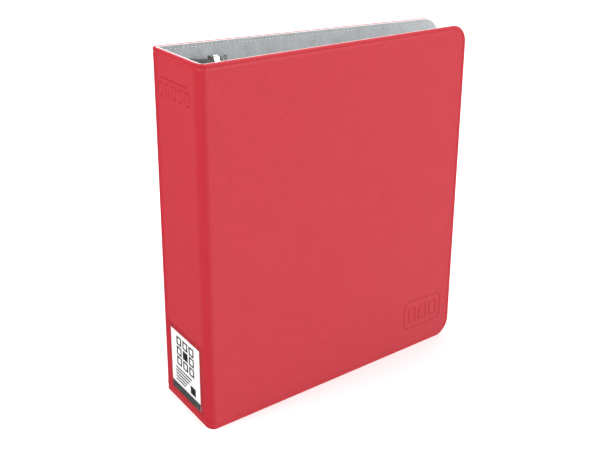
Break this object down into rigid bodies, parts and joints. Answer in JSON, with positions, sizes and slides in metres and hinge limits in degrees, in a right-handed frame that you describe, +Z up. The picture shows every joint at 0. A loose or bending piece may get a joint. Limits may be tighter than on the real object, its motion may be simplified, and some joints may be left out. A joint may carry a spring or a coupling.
{
  "type": "ring binder",
  "caption": "Padded leatherette ring binder for trading card pages, with a wide spine, two hinged covers and a D-ring mechanism opened by end levers.",
  "frame": {"origin": "on the floor under the middle of the standing binder's box", "axes": "+X from the spine to the fore-edges, +Y from the front cover to the back cover, +Z up along the spine"},
  "size_m": [0.3, 0.089, 0.318],
  "materials": {
    "red_leatherette": "fine-grained matte leatherette",
    "grey_suede": "soft suede-like microfibre",
    "foam": "open-cell foam sheet",
    "greyboard": "plain greyboard",
    "red_thread": "twisted polyester thread",
    "label_paper": "smooth white card",
    "clear_film": "clear soft film",
    "steel": "plain zinc-plated steel",
    "nickel": "polished nickel plate"
  },
  "bodies": {
    "spine": {"spine_board": "greyboard", "spine_padding": "foam", "spine_skin": "red_leatherette", "spine_lining": "grey_suede", "spine_stitching": "red_thread", "label_card": "label_paper", "label_window": "clear_film", "front_fold_skin": "red_leatherette", "front_fold_padding": "foam", "front_fold_lining": "grey_suede", "back_fold_skin": "red_leatherette", "back_fold_padding": "foam", "back_fold_lining": "grey_suede"},
    "front_cover": {"front_board": "greyboard", "front_padding": "foam", "front_skin": "red_leatherette", "front_lining": "grey_suede", "front_stitching": "red_thread"},
    "back_cover": {"back_board": "greyboard", "back_padding": "foam", "back_skin": "red_leatherette", "back_lining": "grey_suede", "back_stitching": "red_thread", "cover_plate": "nickel", "mounting_rivets": "nickel", "rivet_washers": "steel", "lever_pins": "steel"},
    "left_rings": {"left_blade": "steel", "left_half_ring_bottom": "nickel", "left_half_ring_middle": "nickel", "left_half_ring_top": "nickel"},
    "right_rings": {"right_blade": "steel", "right_half_ring_bottom": "nickel", "right_half_ring_middle": "nickel", "right_half_ring_top": "nickel"},
    "top_lever": {"top_lever": "nickel"},
    "bottom_lever": {"bottom_lever": "nickel"}
  },
  "joints": [
    {"name": "front_cover_hinge", "type": "hinge", "parent": "spine", "child": "front_cover", "pos_m": [-0.14846, -0.04368, 0.159], "axis": [0, 0, -1], "range_deg": [-5, 178], "deforming": ["front_fold_skin", "front_fold_padding", "front_fold_lining"]},
    {"name": "back_cover_hinge", "type": "hinge", "parent": "spine", "child": "back_cover", "pos_m": [-0.14871, 0.04326, 0.159], "axis": [0, 0, 1], "range_deg": [-2, 178], "deforming": ["back_fold_skin", "back_fold_padding", "back_fold_lining"]},
    {"name": "left_rings_open", "type": "hinge", "parent": "back_cover", "child": "left_rings", "pos_m": [-0.1142, 0.03735, 0.159], "axis": [0, 0, -1], "range_deg": [0, 17]},
    {"name": "right_rings_open", "type": "hinge", "parent": "back_cover", "child": "right_rings", "pos_m": [-0.0858, 0.03735, 0.159], "axis": [0, 0, 1], "range_deg": [0, 17]},
    {"name": "top_lever_press", "type": "hinge", "parent": "back_cover", "child": "top_lever", "pos_m": [-0.1, 0.03655, 0.298], "axis": [-1, 0, 0], "range_deg": [0, 22]},
    {"name": "bottom_lever_press", "type": "hinge", "parent": "back_cover", "child": "bottom_lever", "pos_m": [-0.1, 0.03655, 0.02], "axis": [1, 0, 0], "range_deg": [0, 22]}
  ],
  "couplings": [
    {"joint": "right_rings_open", "follows": "left_rings_open", "ratio": 1},
    {"joint": "top_lever_press", "follows": "left_rings_open", "ratio": 1.29},
    {"joint": "bottom_lever_press", "follows": "left_rings_open", "ratio": 1.29}
  ]
}
